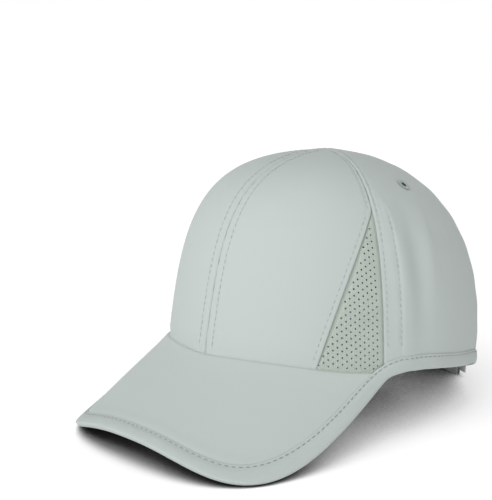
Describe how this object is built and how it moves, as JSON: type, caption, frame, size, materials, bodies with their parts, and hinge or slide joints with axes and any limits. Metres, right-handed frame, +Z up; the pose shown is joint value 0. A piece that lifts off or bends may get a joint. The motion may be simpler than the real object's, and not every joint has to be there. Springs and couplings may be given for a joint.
{
  "type": "ponytail baseball cap",
  "caption": "Soft-panelled sports cap with a curved peak, mesh side inserts and a teardrop opening at the back for a ponytail, closed by overlapping tabs.",
  "frame": {"origin": "centre of the bounding box in plan, on the floor that the cap stands on", "axes": "+Z up, -Y out over the peak (the wearer faces -Y), +X to the wearer's left"},
  "size_m": [0.174, 0.256, 0.1466],
  "materials": {
    "cloth": "matt brushed knit, grey with a slight green cast",
    "mesh": "matt open knit, a little greener than the cloth",
    "trim": "matt woven binding, tone on tone",
    "inside": "matt soft knit",
    "hook": "matt hook-and-loop tape",
    "label": "smooth woven ribbon, off white, blank"
  },
  "bodies": {
    "root": {"front_panel_left": "cloth", "front_panel_right": "cloth", "mesh_insert_left": "mesh", "mesh_insert_right": "mesh", "back_panel_left": "cloth", "back_panel_right": "cloth", "peak": "cloth", "edge_binding": "trim", "opening_binding": "trim", "sweatband": "inside", "closure_patch": "hook", "eyelet_left": "trim", "eyelet_right": "trim", "side_tag": "label"}
  },
  "joints": []
}
